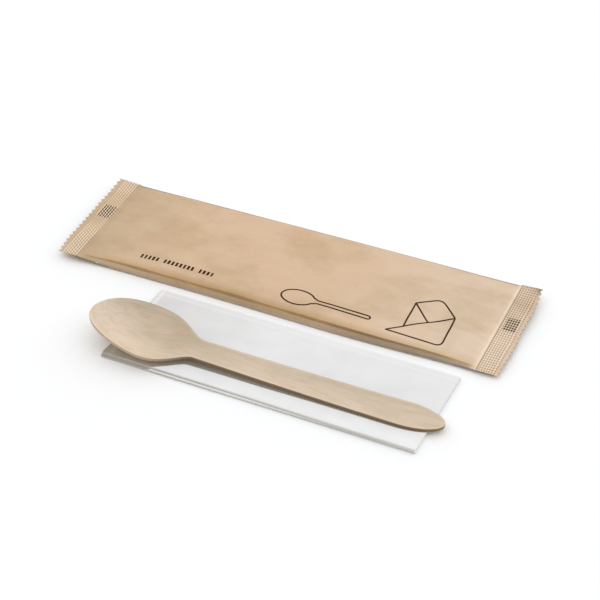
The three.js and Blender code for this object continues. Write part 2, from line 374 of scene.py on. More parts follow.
def birch_wood():
    n = Nodes("birch_wood")
    field = n.noise(n.scaled(0.011, 0.1, 0.16), detail=2.0, roughness=0.45, distortion=0.25)
    rings = n.math("SINE", n.math("MULTIPLY", field, 62.0))
    streak = n.noise(n.scaled(0.06, 1.5, 1.5), detail=4.0, roughness=0.6)
    dash = n.ramp(n.noise(n.scaled(0.28, 3.4, 3.4), detail=2.0), 0.6, 0.72)
    patch = n.noise(n.scaled(0.045, 0.09, 0.09), detail=2.0)
    warm = n.noise(n.scaled(0.07, 0.12, 0.12), detail=1.0, distortion=0.4)
    colour = n.mix(n.ramp(patch, 0.36, 0.64), (0.575, 0.468, 0.345), (0.635, 0.515, 0.395))
    colour = n.mix(n.ramp(warm, 0.48, 0.66, 0.0, 0.6), colour, (0.66, 0.505, 0.4))
    at = n.separate(n.millimetres())
    # The bowl, at the left, has bolder rings and finer streaks than the handle.
    bold = n.ramp(at["X"], -34, -12, 0.21, 0.15)
    fine = n.ramp(at["X"], -34, -12, 0.45, 1.0)
    colour = n.mix(n.math("MULTIPLY", n.ramp(rings, 0.1, 1.0), bold), colour, (0.42, 0.31, 0.19))
    streaks = n.math("MULTIPLY", n.ramp(streak, 0.38, 0.68, 0.0, 0.2), fine)
    colour = n.mix(streaks, colour, (0.47, 0.36, 0.245))
    dashes = n.math("MULTIPLY", n.math("MULTIPLY", dash, 0.42), fine)
    colour = n.mix(dashes, colour, (0.36, 0.26, 0.165))
    # Painted shade: paler on the near side and darker on the far side, where the bowl's far inner
    # wall faces away from the light; it is also a little darker round the neck.
    side = n.mix(n.ramp(at["Y"], -58, -24), (1.12, 1.12, 1.13), (0.85, 0.85, 0.83))
    from_neck = n.math("ABSOLUTE", n.math("ADD", at["X"], 11.0))
    neck = n.mix(n.ramp(from_neck, 3, 24), (0.91, 0.9, 0.885), NO_TINT)
    colour = n.tinted(n.tinted(colour, side), neck)
    # The sawn side's dark brown is partly the wood's own browned edge and partly painted shade
    browned_and_shaded_edge = n.mix(streak, (0.3, 0.2, 0.115), (0.16, 0.1, 0.055))
    colour = n.mix(n.attribute("cut"), colour, browned_and_shaded_edge)
    # Painted highlight along the top face's rim
    colour = n.mix(n.attribute("rim_highlight"), colour, (0.76, 0.66, 0.53))
    relief = n.math("SUBTRACT", streak, n.math("MULTIPLY", dash, 0.6))
    rough = n.ramp(streak, 0.2, 0.8, 0.5, 0.68)
    return n.finish(colour, rough, relief, 0.03, 0.35)


DOT_PITCH = 1.3  # of the pressed dots in the napkin's border, in millimetres


def white_tissue():
    n = Nodes("white_tissue")
    cloud = n.noise(n.scaled(0.05, 0.08, 0.5), detail=3.0)
    crepe = n.noise(n.scaled(2.2, 0.7, 2.2), detail=3.0, roughness=0.6)
    emboss = n.attribute("border")
    at = n.separate(n.millimetres())
    waves = [n.math("SINE", n.math("MULTIPLY", at[axis], 2 * math.pi / DOT_PITCH))
             for axis in ("X", "Y")]
    dots = n.math("MULTIPLY", n.ramp(n.math("MULTIPLY", *waves), 0.1, 0.9), emboss)
    colour = n.mix(n.ramp(cloud, 0.3, 0.7), (0.70, 0.698, 0.692), (0.745, 0.742, 0.733))
    # Painted shade greys the left end, as the light falls from the right, and painted light whitens
    # the strip along the near edge, which lies lit in front of the spoon's shadow
    left = n.mix(n.ramp(at["X"], -50, 15), (0.89, 0.875, 0.87), NO_TINT)
    near = n.mix(n.ramp(at["Y"], -56, -44), (1.06, 1.06, 1.06), NO_TINT)
    colour = n.tinted(n.tinted(colour, left), near)
    # The embossed border is painted lighter, as a painted highlight on its pressed lines, and its
    # dots darker, as painted shade in them
    colour = n.mix(n.math("MULTIPLY", emboss, 0.7), colour, (0.9, 0.9, 0.9))
    colour = n.mix(n.math("MULTIPLY", dots, 0.5), colour, (0.45, 0.45, 0.45))
    relief = n.math("SUBTRACT", n.math("MULTIPLY", crepe, 0.5), n.math("MULTIPLY", dots, 1.5))
    rough = n.ramp(crepe, 0.2, 0.8, 0.88, 0.98)
    return n.finish(colour, rough, relief, 0.03, 0.15)


def brown_print():
    n = Nodes("brown_print")
    wear = n.noise(n.scaled(1.4, 1.9, 1.9), detail=4.0, roughness=0.7)
    colour = n.mix(n.ramp(wear, 0.5, 0.8, 0.0, 0.35), (0.045, 0.02, 0.005), (0.12, 0.065, 0.025))
    rough = n.ramp(wear, 0.2, 0.8, 0.5, 0.7)
    return n.finish(colour, rough, wear, 0.01, 0.1)


def floor_white():
    n = Nodes("floor_white")
    grain = n.noise(n.scaled(0.2, 0.2, 0.2), detail=3.0)
    colour = n.mix(grain, (0.895, 0.895, 0.9), (0.905, 0.905, 0.905))
    return n.finish(colour, 0.9, grain, 0.001, 0.0)


# ---- The pouch ----

def from_seals(x):
    """How far x is from each seal's inner edge, into the filled part."""
    left = x + POUCH_HALF - SEAL_LENGTH["left"]
    right = POUCH_HALF - SEAL_LENGTH["right"] - x
    return left, right


def swell(x, left_length, right_length):
    """0 in the seals and 1 in the filled middle: a quick step, then a long rise."""
    rise = 1
    for inside, length in zip(from_seals(x), (left_length, right_length)):
        t = clamp(inside / length)
        rise = rise * (STEP * smooth(inside / STEP_LONG) + (1 - STEP) * t * (2 - t))
    return rise


def full_width(v):
    """Half the width of the filled pouch, on the side that the share v is on."""
    return np.where(v < 0, NEAR_WALL.wide, FAR_WALL.wide)


def filled_top(v):
    """Height of the filled section's top face and side walls, at share v of its half width."""
    inside = (1 - np.abs(v)) * full_width(v)
    walls = np.where(v < 0, NEAR_WALL.height(inside), FAR_WALL.height(inside))
    shoulder_in = np.where(v < 0, NEAR_WALL.shoulder_in, FAR_WALL.shoulder_in)
    crown = clamp(1 - (np.abs(v) / (1 - shoulder_in / full_width(v))) ** 2)
    return walls + (POUCH_TALL - ROLL_TALL) * crown


def filled_under(v):
    y = np.abs(v) * full_width(v)
    foot = np.where(v < 0, NEAR_WALL.foot, FAR_WALL.foot)
    seam = smooth((y - SEAM_WIDE) / SEAM_THICK)
    edge = smooth((y - full_width(v) + FOOT_CURVE) / FOOT_CURVE)
    return SEAM_THICK * seam + (foot - SEAM_THICK) * edge


# How much higher or lower than SEAL_UNDER the flat paper lies at the pouch's corners
CORNER_LIFT = {("left", "near"): 0.75, ("left", "far"): 1.5,
               ("right", "near"): -0.75, ("right", "far"): 1.5}


def flat_lift(x, v):
    along = clamp((x / POUCH_HALF + 1) / 2)
    across = (v + 1) / 2
    near = lerp(CORNER_LIFT["left", "near"], CORNER_LIFT["right", "near"], along)
    far = lerp(CORNER_LIFT["left", "far"], CORNER_LIFT["right", "far"], along)
    return lerp(near, far, across)


broad_dents = SoftNoise(24, 10)
small_dents = SoftNoise(8, 4.5)
crease_waves = SoftNoise(17, 1000)
seal_waves = SoftNoise(30, 9)
edge_waves = SoftNoise(50, 7)


class Fold:
    """A soft raised fold in the paper: a line from a point, with a direction and a length."""

    def __init__(self, x, y, angle, length, width, height):
        self.start = (x, y)
        self.along = (math.cos(math.radians(angle)), math.sin(math.radians(angle)))
        self.length, self.width, self.height = length, width, height

    def __call__(self, x, y):
        dx, dy = x - self.start[0], y - self.start[1]
        along = dx * self.along[0] + dy * self.along[1]
        across = dy * self.along[0] - dx * self.along[1]
        t = clamp(along / self.length)
        fade = smooth(along / (0.12 * self.length)) * (1 - smooth(t))
        return self.height * fade * bump(across, self.width * (0.6 + 0.8 * t))


def fan_of_folds():
    """Folds that run out from both seals, where the flat paper opens into the filled part."""
    folds = []
    for end, count in (("left", 11), ("right", 12)):
        side = -1 if end == "left" else 1
        start = side * (POUCH_HALF - SEAL_LENGTH[end])
        for i in range(count):
            y = POUCH_WIDE * (2 * (i + 0.5) / count - 1) * 0.93 + rng.uniform(-1.5, 1.5)
            heading = (180 if side > 0 else 0) + side * y * 0.5 + rng.uniform(-9, 9)
            folds.append(Fold(start, y, heading, rng.uniform(7, 24), rng.uniform(0.9, 2.0),
                              rng.choice((1, -1)) * rng.uniform(0.1, 0.3)))
    return folds


# Longer marks in the paper: soft hollows beside what lies inside.
CONTENT_MARKS = [
    Fold(-72, 17, -8, 60, 3.5, -0.28),
    Fold(-60, -6, 6, 46, 4.0, -0.2),
    Fold(-84, -14, 14, 34, 3.0, 0.22),
    Fold(-20, 19, -3, 74, 3.0, -0.26),
    Fold(60, 10, 28, 30, 4.5, -0.22),
    Fold(52, -12, -12, 40, 5.0, 0.16),
    Fold(5, 2, 2, 60, 5.0, 0.15),
]
FOLDS = fan_of_folds() + CONTENT_MARKS


def half_width(x, y):
    """Half the pouch's width at x, on the side that y is on."""
    middle, spread, depth = NEAR_BOW
    bow = np.where(y < 0, depth * bump(x - middle, spread), 0)
    return lerp(POUCH_WIDE, full_width(y) + bow, swell(x, UNDER_SWELL, UNDER_SWELL))


def top_height(x, y):
    """Height of the pouch's top skin, not counting what its seals add."""
    full = swell(x, SWELL["left"], SWELL["right"])
    v = y / half_width(x, y)
    z = lerp(SEAL_UNDER + SEAL_THICK + flat_lift(x, v), filled_top(v), full)
    from_edge = (1 - np.abs(v)) * POUCH_WIDE
    inside = smooth(from_edge / CALM_EDGE)
    from_seal = np.minimum(*from_seals(x))
    dents = DENT_DEEP["broad"] * broad_dents(x, y) + DENT_DEEP["small"] * small_dents(x, y)
    z = z + dents * inside * smooth(from_seal / CALM_SEAL)
    z = z + CREASE_WAVE * crease_waves(x, y) * full * (1 - inside) * smooth(from_edge / 2.5)
    open_paper = smooth(from_seal / 1.2) * inside
    for fold in FOLDS:
        z = z + fold(x, y) * open_paper
    return z


def under_height(x, y):
    full = swell(x, UNDER_SWELL, UNDER_SWELL)
    v = y / half_width(x, y)
    return lerp(SEAL_UNDER + flat_lift(x, v), filled_under(v), full)


def seal_bend(x, y):
    """How far the seals' outer ends curl and wave up or down."""
    bend = 0
    for end, inset in (("left", x + POUCH_HALF), ("right", POUCH_HALF - x)):
        height = SEAL_WAVE[end] * seal_waves(x, y)
        for side, from_side in (("near", POUCH_WIDE + y), ("far", POUCH_WIDE - y)):
            tall, spread = CORNER_CURL[end, side]
            height = height + tall * bump(from_side, spread)
        bend = bend + smooth(1 - inset / CURL_REACH) * height
    return bend


# The dark blocks that a packing machine's sensor reads, printed across both seals:
# lowest and highest x and y, in the pouch's own frame.
LEFT_MARK = (-101.0, -94.6, 0.4, 9.8)
RIGHT_MARK = (96.2, 102.2, -1.8, 7.2)
MARK_SOFT = 0.3  # over which a block's edges fade


def between(value, low, high):
    """1 from low to high, with soft edges inside them, and 0 beyond."""
    return smooth((value - low) / MARK_SOFT) * smooth((high - value) / MARK_SOFT)


def crimp_relief(x, y):
    """The pressed pattern of the end seals, from -1 in its grooves to 1 on its ridges."""
    pattern = np.zeros_like(x)
    for end, inset in (("left", x + POUCH_HALF), ("right", POUCH_HALF - x)):
        strip = PLAIN_STRIP[end]
        length = SEAL_LENGTH[end]
        within = smooth((inset - strip) / 0.4) * smooth((length - inset) / 0.3 + 0.5)
        if end == "left":
            ridge = np.cos(2 * math.pi * (inset - strip - RIDGE_PITCH / 2) / RIDGE_PITCH)
            twist = (inset - strip) / RIDGE_PITCH * 0.5
            dash = np.cos(2 * math.pi * (y / ROPE_PITCH + twist))
            # Pressed less in the middle, but for where the mark is
            strength = 0.4 + 0.5 * smooth(np.abs(y - 5.0) / 16.0 - 0.3)
            strength = np.maximum(strength, between(y, *LEFT_MARK[2:]))
            pattern = pattern + within * strength * (0.15 + 0.6 * ridge + 0.3 * dash)
        else:
            cell = (1 - np.cos(2 * math.pi * (inset - strip) / WAFFLE_PITCH)) / 2
            cell = cell * (1 - np.cos(2 * math.pi * y / WAFFLE_ROW)) / 2
            strength = 0.85 + 0.15 * seal_waves(x, y)
            pattern = pattern + within * strength * (1 - 2 * cell ** 0.4)
    return pattern


def painted_shade_and_highlight_lines(x, v):
    """Painted highlight and painted shade: lighter and darker lines where the paper is creased or
    pressed, on the scale of the crimp.
    """
    left, right = from_seals(x)
    # Painted highlight on the strip beside the right seal, and painted shade on the lines where the
    # filled part meets the seals
    tone = 0.42 * bump(right - 0.8, 0.6) - 0.9 * bump(right + 0.1, 0.3) - 0.35 * bump(left, 0.4)
    # Painted shade on the far shoulder and on the right end's curled far corner, and darker over
    # the far half of the right seal
    from_shoulder = (1 - v) * FAR_WALL.wide - FAR_WALL.shoulder_in
    tone = tone - 0.75 * bump(from_shoulder - 0.3, 0.65) * smooth(np.minimum(left, right) / 2)
    from_corner = np.hypot(x - POUCH_HALF, (v - 1) * POUCH_WIDE)
    tone = tone - 0.7 * bump(from_corner, 3.5) - 0.22 * smooth(v * 1.5) * smooth(-right)
    # Painted shade in the near crease, which is broader and softer at the left end, and on the wall
    # below it, unevenly along the pouch
    from_crease = (1 + v) * NEAR_WALL.wide - NEAR_WALL.crease_in
    at_left = smooth((-45 - x) / 30)
    crease_shade_strength = (0.6 + 0.4 * small_dents(x, 0 * v)) * smooth(np.minimum(left + 1, right + 4) / 8)
    tone = tone - (0.34 + 0.1 * at_left) * bump(from_crease, 0.35 + 0.35 * at_left) * crease_shade_strength
    return tone - 0.5 * smooth(0.7 - from_crease) * smooth((x - 5) / 45) * smooth(right / 5)


def sensor_ink(x, y, pattern):
    """How much of the sensor's marks there is. Their ink misses the tops of the ridges."""
    ink = np.zeros_like(x)
    for x0, x1, y0, y1 in (LEFT_MARK, RIGHT_MARK):
        inside = between(x, x0, x1) * between(y, y0, y1)
        ink = np.maximum(ink, inside * smooth(0.72 - 1.15 * pattern))
    return ink


def pouch_stations():
    """x places along the pouch, close together in the seals and near them."""
    def seal_steps(length):
        return np.linspace(0, length, round(length / 0.2) + 1)

    def body_steps(length):
        close = 18
        near = np.concatenate([[0.25, 0.5, 0.8], np.arange(1.2, close, 1.1)])
        return np.concatenate([near, np.linspace(close, length - close, 56), length - near[::-1]])

    left = seal_steps(SEAL_LENGTH["left"]) - POUCH_HALF
    right = (POUCH_HALF - seal_steps(SEAL_LENGTH["right"]))[::-1]
    body = left[-1] + body_steps(right[0] - left[-1])
    return np.concatenate([left, body, right])


def pouch_rows():
    """Shares of the half width across the pouch, with rows on its creases and shoulders."""
    def wall_rows(wall):
        slope = np.linspace(0, wall.crease_in, 7)
        steep = np.linspace(wall.crease_in, wall.shoulder_in, 5)[1:]
        roll = lerp(wall.shoulder_in, wall.roll_in, np.linspace(0, 1, 14)[1:] ** 1.3)
        return 1 - np.concatenate([slope, steep, roll]) / wall.wide

    near, far = wall_rows(NEAR_WALL), wall_rows(FAR_WALL)
    middle = np.linspace(-near[-1], far[-1], 195)
    return np.concatenate([-near[:-1], middle, far[-2::-1]])


def tooth_edge(x, y):
    """Moves the seals' outer strips so that they end in a zigzag cut."""
    wave = 1 - np.abs((y / TOOTH_PITCH) % 1.0 - 0.5) * 2
    shift = np.zeros_like(x)
    for end, side in (("left", 1), ("right", -1)):
        inset = x + POUCH_HALF if end == "left" else POUCH_HALF - x
        uneven = RAGGED[end]
        cut = TOOTH_DEPTH * wave * (1 - 0.8 * uneven * (1 + edge_waves(7.0, y)) / 2)
        out = EDGE_OUT[end] - CORNER_TRIM * bump(y + POUCH_WIDE * side, 7.0)
        cut = cut + uneven * edge_waves(side * 40.0, y) - out
        shift = shift + side * cut * clamp(1 - inset / CUT_REACH)
    return shift


def tuck(x, v, inside):
    """How far the top skin is drawn in at its side creases, which is uneven along the pouch."""
    depth = np.where(v < 0, NEAR_WALL.tucked(inside), FAR_WALL.tucked(inside))
    fade_right = smooth((TUCK_END - x) / TUCK_FADE["right"])
    fade_left = smooth(from_seals(x)[0] / TUCK_FADE["left"])
    uneven = 0.55 + 0.45 * crease_waves(x, 0 * x)
    return depth * uneven * fade_right * fade_left * swell(x, UNDER_SWELL, UNDER_SWELL)


def build_pouch(material):
    x, v = np.meshgrid(pouch_stations(), pouch_rows(), indexing="ij")
    y = v * half_width(x, v)
    pattern = crimp_relief(x, y)
    lift = seal_bend(x, y)
    lift = lift + pattern * np.where(x < 0, RIDGE_RISE["left"], RIDGE_RISE["right"])
    top = top_height(x, y) + lift
    under = under_height(x, y) + lift
    fold = (top[:, [0, -1]] + under[:, [0, -1]]) / 2
    top[:, [0, -1]] = fold
    shifted = x + tooth_edge(x, y)
    inside = (1 - np.abs(v)) * full_width(v)
    tucked = y - np.sign(v) * tuck(x, v, inside)

    rows = x.shape[1]
    top_ids = np.arange(x.size).reshape(x.shape)
    under_ids = np.arange(x.size, x.size + x.shape[0] * (rows - 2)).reshape(x.shape[0], rows - 2)
    under_ids = np.hstack([top_ids[:, :1], under_ids, top_ids[:, -1:]])
    inner = (slice(None), slice(1, -1))
    points = np.vstack([np.stack([shifted, tucked, top], axis=-1).reshape(-1, 3),
                        np.stack([shifted[inner], y[inner], under[inner]], axis=-1).reshape(-1, 3)])
    points = points + (POUCH_CENTRE[0], POUCH_CENTRE[1], 0)
    faces = grid_faces(top_ids) + grid_faces(under_ids, flip=True)
    faces += grid_faces(np.stack([under_ids[0], top_ids[0]]))
    faces += grid_faces(np.stack([top_ids[-1], under_ids[-1]]))
    # The skins share points at the folded edges, which leaves three corners to some faces.
    faces = [face if len(set(face)) == 4 else sorted(set(face), key=face.index) for face in faces]

    pouch = add_piece("kraft_pouch", points, faces, material, sharp_angle=80)
    # Masks for painted light on the near wall: painted bounce light from the white floor at its
    # foot, and painted shade along its crease
    near_side = (v < 0) * smooth(from_seals(x)[0] / 15)
    foot = clamp(1 - inside / NEAR_WALL.crease_in) ** 1.3 * near_side
    above = inside - NEAR_WALL.crease_in
    crease = bump(above, np.where(above > 0, 1.6, 0.6)) * near_side
    bare = np.zeros_like(x)
    for name, on_top, beneath in (("crimp_and_painted_shading", pattern + painted_shade_and_highlight_lines(x, v), pattern),
                                  ("ink", sensor_ink(x, y, pattern), bare),
                                  ("foot", foot, bare), ("crease", crease, bare)):
        add_attribute(pouch, name, np.concatenate([on_top.ravel(), beneath[inner].ravel()]))
    return pouch


# ---- Print on the pouch ----

LINE_WIDE = 0.76
LINE_STEP = 0.5  # between points along a line
INK_RISE = 0.035  # the ink's top above the paper
INK_ROOT = 0.06  # and its underside below the paper
BAR_TALL = 2.5
BAR_SHARE = (0.42, 0.62)  # a bar's least and greatest width, for each step from bar to bar


def drape(points):
    """Puts flat [x, y] points on the pouch's top face, returning [x, y, z]."""
    points = np.asarray(points, float)
    return np.column_stack([points, top_height(points[:, 0], points[:, 1])])


def resample(points, step, closed):
    points = np.asarray(points, float)
    if closed:
        points = np.vstack([points, points[:1]])
    lengths = np.hypot(*np.diff(points, axis=0).T)
    travelled = np.concatenate([[0], np.cumsum(lengths)])
    count = max(2, int(math.ceil(travelled[-1] / step)) + 1)
    at = np.linspace(0, travelled[-1], count)
    line = np.column_stack([np.interp(at, travelled, points[:, k]) for k in (0, 1)])
    return line[:-1] if closed else line


def ink_line(points, closed, width=LINE_WIDE):
    """A thin raised ribbon of ink along a line. Returns its points and faces."""
    line = resample(points, LINE_STEP, closed)
    count = len(line)
    if closed:
        tangent = np.roll(line, -1, axis=0) - np.roll(line, 1, axis=0)
    else:
        tangent = np.gradient(line, axis=0)
    tangent = tangent / np.hypot(*tangent.T)[:, None]
    normal = np.column_stack([-tangent[:, 1], tangent[:, 0]])
    left, right = drape(line + normal * width / 2), drape(line - normal * width / 2)
    corners = [left + (0, 0, INK_RISE), left - (0, 0, INK_ROOT),
               right - (0, 0, INK_ROOT), right + (0, 0, INK_RISE)]
    rings = np.stack(corners, axis=1)
    ids = np.arange(count * 4).reshape(count, 4)
    loop = np.hstack([ids, ids[:, :1]])
    if closed:
        loop = np.vstack([loop, loop[:1]])
    faces = grid_faces(loop)
    if not closed:
        faces += [ids[0][::-1].tolist(), ids[-1].tolist()]
    return rings.reshape(-1, 3), faces


def ink_piece(name, strokes, material):
    """One piece of print from several strokes, each (points, closed) with an optional width."""
    points, faces, total = [], [], 0
    for stroke in strokes:
        p, f = ink_line(*stroke)
        points.append(p)
        faces += [[i + total for i in face] for face in f]
        total += len(p)
    points = np.vstack(points) + (POUCH_CENTRE[0], POUCH_CENTRE[1], 0)
    return add_piece(name, points, faces, material, sharp_angle=35)


def arc(centre, radius_x, radius_y, start, end, steps):
    x, y = centre
    angles = np.radians(np.linspace(start, end, steps))
    return [(x + radius_x * math.cos(a), y + radius_y * math.sin(a)) for a in angles]


def spoon_sign(tip, length):
    """The outline of a plain spoon that points along -X, from its tip."""
    x, y = tip
    bowl_x, bowl_y, half_handle = 0.185 * length, 0.113 * length, 0.024 * length
    neck = x + 0.41 * length
    opening = 26  # degrees, from the bowl's long axis to where it turns to the neck
    outline = arc((x + bowl_x, y), bowl_x, bowl_y, opening, 360 - opening, 40)
    outline += [(neck, y - half_handle)]
    outline += arc((x + length - half_handle, y), half_handle, half_handle, -90, 90, 9)
    outline += [(neck, y + half_handle)]
    return outline


def bar_row(start, length, words):
    """A line of plain short bars where such a pouch has its wording. Returns their strokes."""
    strokes = []
    letters = sum(words) + len(words) - 1
    pitch = length / letters
    at = start[0] + pitch / 2
    for count in words:
        for _ in range(count):
            low = start[1] - BAR_TALL / 2
            strokes.append(([(at, low), (at, low + BAR_TALL)], False,
                            pitch * rng.uniform(*BAR_SHARE)))
            at += pitch
        at += pitch
    return strokes


def rounded(corners, radii, steps=6):
    """A closed outline through corners, each rounded by its own radius."""
    outline = []
    count = len(corners)
    for i, (corner, radius) in enumerate(zip(corners, radii)):
        corner = np.array(corner, float)
        before = np.array(corners[i - 1], float) - corner
        after = np.array(corners[(i + 1) % count], float) - corner
        if radius == 0:
            outline.append(tuple(corner))
            continue
        start = corner + before / np.hypot(*before) * radius
        end = corner + after / np.hypot(*after) * radius
        for t in np.linspace(0, 1, steps):
            outline.append(tuple((1 - t) ** 2 * start + 2 * t * (1 - t) * corner + t * t * end))
    return outline


# ---- The spoon ----

def fall(t):
    """From 1 down to 0, level at both ends."""
    return (1 + np.cos(math.pi * clamp(t))) / 2


def spoon_half_width(s):
    """Half the width at s, which is the distance from the bowl's tip."""
    t = 1 - clamp(s / BOWL_WIDEST)
    tip = BOWL_WIDE * np.sqrt(1 - t * t)
    t = clamp((s - BOWL_WIDEST) / (BOWL_LONG - BOWL_WIDEST))
    bell = lerp(NECK_WIDE, BOWL_WIDE, (1 - t ** BOWL_SHOULDER) ** NECK_FLARE)
    along = (s - BOWL_LONG) / (SPOON_LONG - BOWL_LONG)
    q = clamp((s - SPOON_LONG + END_ROUND) / END_ROUND)
    handle = lerp(NECK_WIDE, END_WIDE, along) * np.sqrt(1 - q * q)
    return np.where(s <= BOWL_WIDEST, tip, np.where(s <= BOWL_LONG, bell, handle))


def spoon_rim(s):
    """Height of the top face at its edges."""
    bowl = lerp(NECK_TALL, TIP_TALL, fall(s / RIM_FALL))
    left = clamp((SPOON_LONG - s) / (SPOON_LONG - BOWL_LONG))
    return np.where(s < BOWL_LONG, bowl, lerp(END_TALL, NECK_TALL, left ** HANDLE_SAG))


def spoon_middle(s):
    """Height of the top face on the middle line."""
    tip = lerp(BOTTOM_TALL, TIP_TALL, clamp(1 - s / BOWL_WIDEST) ** 2)
    back = lerp(NECK_TALL, BOTTOM_TALL, fall((s - BOWL_WIDEST) / (BOWL_LONG - BOWL_WIDEST)))
    return np.where(s < BOWL_WIDEST, tip, np.where(s < BOWL_LONG, back, spoon_rim(s)))


def build_spoon(material):
    steps, across = 260, 30  # points along the spoon, and across each face
    s = SPOON_LONG * (1 - np.cos(math.pi * np.linspace(0, 1, steps + 1))) / 2
    half = spoon_half_width(s)
    slope = np.gradient(half, s, edge_order=1)
    normal_x = -slope / np.hypot(1, slope)
    normal_y = 1 / np.hypot(1, slope)
    normal_x[0], normal_y[0] = -1, 0
    normal_x[-1], normal_y[-1] = 1, 0

    # Rings from the top face round the sanded edge to the underside: how far in, how far down
    turn = np.radians(np.linspace(0, 90, 6))
    edge = [(SPOON_EDGE * (1 - math.sin(a)), SPOON_EDGE * (1 - math.cos(a))) for a in turn]
    edge += [(d, SPOON_THICK - down) for d, down in reversed(edge)]

    # The sawn side is painted dark, most on the neck and handle: partly the wood's own browned edge
    # and partly painted shade on the side away from the light. The top face has a painted highlight
    # along its rim.
    dark = lerp(0.12, 1.0, smooth((s - 26) / 26))
    cut_fade, rim_wide, rim_highlight_strength = 0.3, 0.8, 0.3
    rows, cut, rim_highlight = [], [], []

    def add_row(x, y, z, sawn=0, highlight=0):
        rows.append(np.column_stack([x, y, z]))
        cut.append(sawn + 0 * s)
        rim_highlight.append(highlight + 0 * s)

    u = np.linspace(-1, 1, across + 1)
    inset_x = s - SPOON_EDGE * normal_x
    inset_y = np.maximum(half - SPOON_EDGE * normal_y, 0)
    inner_share = np.divide(inset_y, np.maximum(half, 1e-6))
    for share in u[::-1]:
        z = lerp(spoon_middle(s), spoon_rim(s), (share * inner_share) ** 2)
        highlight = rim_highlight_strength * bump(half * (1 - abs(share)), rim_wide)
        add_row(inset_x, share * inset_y, z, highlight=highlight)
    rim_z = spoon_rim(s)
    for d, down in edge[1:-1]:
        sawn = dark * smooth(down / cut_fade)
        add_row(s - d * normal_x, d * normal_y - half, rim_z - down, sawn)
    for share in u:
        z = lerp(spoon_middle(s), spoon_rim(s), (share * inner_share) ** 2) - SPOON_THICK
        add_row(inset_x, share * inset_y, z)
    for d, down in edge[-2:0:-1]:
        sawn = dark * smooth(down / cut_fade)
        add_row(s - d * normal_x, half - d * normal_y, rim_z - down, sawn)
    grid = np.stack(rows, axis=1)
    ids = np.arange(grid.shape[0] * grid.shape[1]).reshape(grid.shape[:2])
    loop = np.hstack([ids, ids[:, :1]])
    points = grid.reshape(-1, 3) + (SPOON_LOW[0], (SPOON_LOW[1] + SPOON_HIGH[1]) / 2, 0)
    spoon = add_piece("birch_spoon", points, grid_faces(loop, flip=True), material, sharp_angle=70)
    add_attribute(spoon, "cut", np.stack(cut, axis=1).ravel())
    add_attribute(spoon, "rim_highlight", np.stack(rim_highlight, axis=1).ravel())
    merge_close(spoon, 1e-6)
    return spoon


def merge_close(obj, distance):
    """Joins points nearer than the distance, in metres, which closes the spoon's two ends."""
    work = bmesh.new()
    work.from_mesh(obj.data)
    bmesh.ops.remove_doubles(work, verts=work.verts, dist=distance)
    bmesh.ops.dissolve_degenerate(work, edges=work.edges, dist=distance)
    bmesh.ops.recalc_face_normals(work, faces=work.faces)
    work.to_mesh(obj.data)
    work.free()


# ---- The napkin ----

SPLIT_AT = 0.55  # share of the height at which the near edge parts into an upper and a lower fold
SPLIT_ABOVE = 0.1  # the groove between them is this much higher
SPLIT_DEEP = 0.4
UPPER_IN = 0.5  # the upper fold stands back from the lower one
LOWER_OUT = 0.5
NEAR_REACH = 9.0  # how far in from the near edge its shape is felt
NEAR_PUFF = 0.2  # how much the folded near edge stands up
NEAR_WAVE = 0.12
TOP_WAVE = 0.1
BORDER_IN = 2.6  # the embossed border's line, inside the napkin's edges
BORDER_DEEP = 0.07
LEFT_SKEW = 1.1  # the left edge isn't quite square: its corners lie this far along
UNDER_TOP = LEAVES - 1.5  # halfway between the top leaf and the one below it
napkin_waves = SoftNoise(26, 15)
leaf_waves = SoftNoise(38, 30)


def level(i):
    """Height of the middle of leaf i, a pair of layers, from 0 at the table."""
    pitch = (NAPKIN_TALL - PAIR_GAP - TISSUE) / (LEAVES - 1)
    return (PAIR_GAP + TISSUE) / 2 + i * pitch


def folded_line():
    """The path that a pair of layers follows across the napkin, as [y, z] points, and the path's
    unit normal at each. Its folded edge is at +Y, and build_napkin mirrors it to the near side."""
    widest = (level(5) - level(0)) / 2 + (PAIR_GAP + TISSUE) / 2
    fold_y = NAPKIN_WIDE / 2 - widest
    open_y = -NAPKIN_WIDE / 2 + (level(1) - level(0) + PAIR_GAP + TISSUE) / 2
    path = []

    def run(y_from, y_to, z, shares=np.linspace(0, 1, 22)):
        for t in shares[:-1]:
            path.append((lerp(y_from, y_to, t), z))

    def turn(y, z_from, z_to, side, steps=7):
        middle, radius = (z_from + z_to) / 2, (z_to - z_from) / 2
        for angle in np.linspace(-90, 90, steps)[:-1]:
            a = math.radians(angle)
            path.append((y + side * abs(radius) * math.cos(a), middle + radius * math.sin(a)))

    close_at_fold = np.concatenate([np.linspace(0, 0.12, 18), np.linspace(0.14, 1, 30)])
    run(open_y, fold_y, level(0))
    turn(fold_y, level(0), level(5), 1, 25)
    run(fold_y, open_y, level(5), close_at_fold)
    turn(open_y, level(5), level(4), -1)
    run(open_y, fold_y, level(4))
    turn(fold_y, level(4), level(1), 1, 11)
    run(fold_y, open_y, level(1))
    turn(open_y, level(1), level(2), -1)
    run(open_y, fold_y, level(2))
    turn(fold_y, level(2), level(3), 1)
    run(fold_y, open_y, level(3))
    path.append((open_y, level(3)))
    path = np.array(path)
    tangent = np.gradient(path, axis=0)
    tangent = tangent / np.hypot(*tangent.T)[:, None]
    return path, np.column_stack([-tangent[:, 1], tangent[:, 0]])


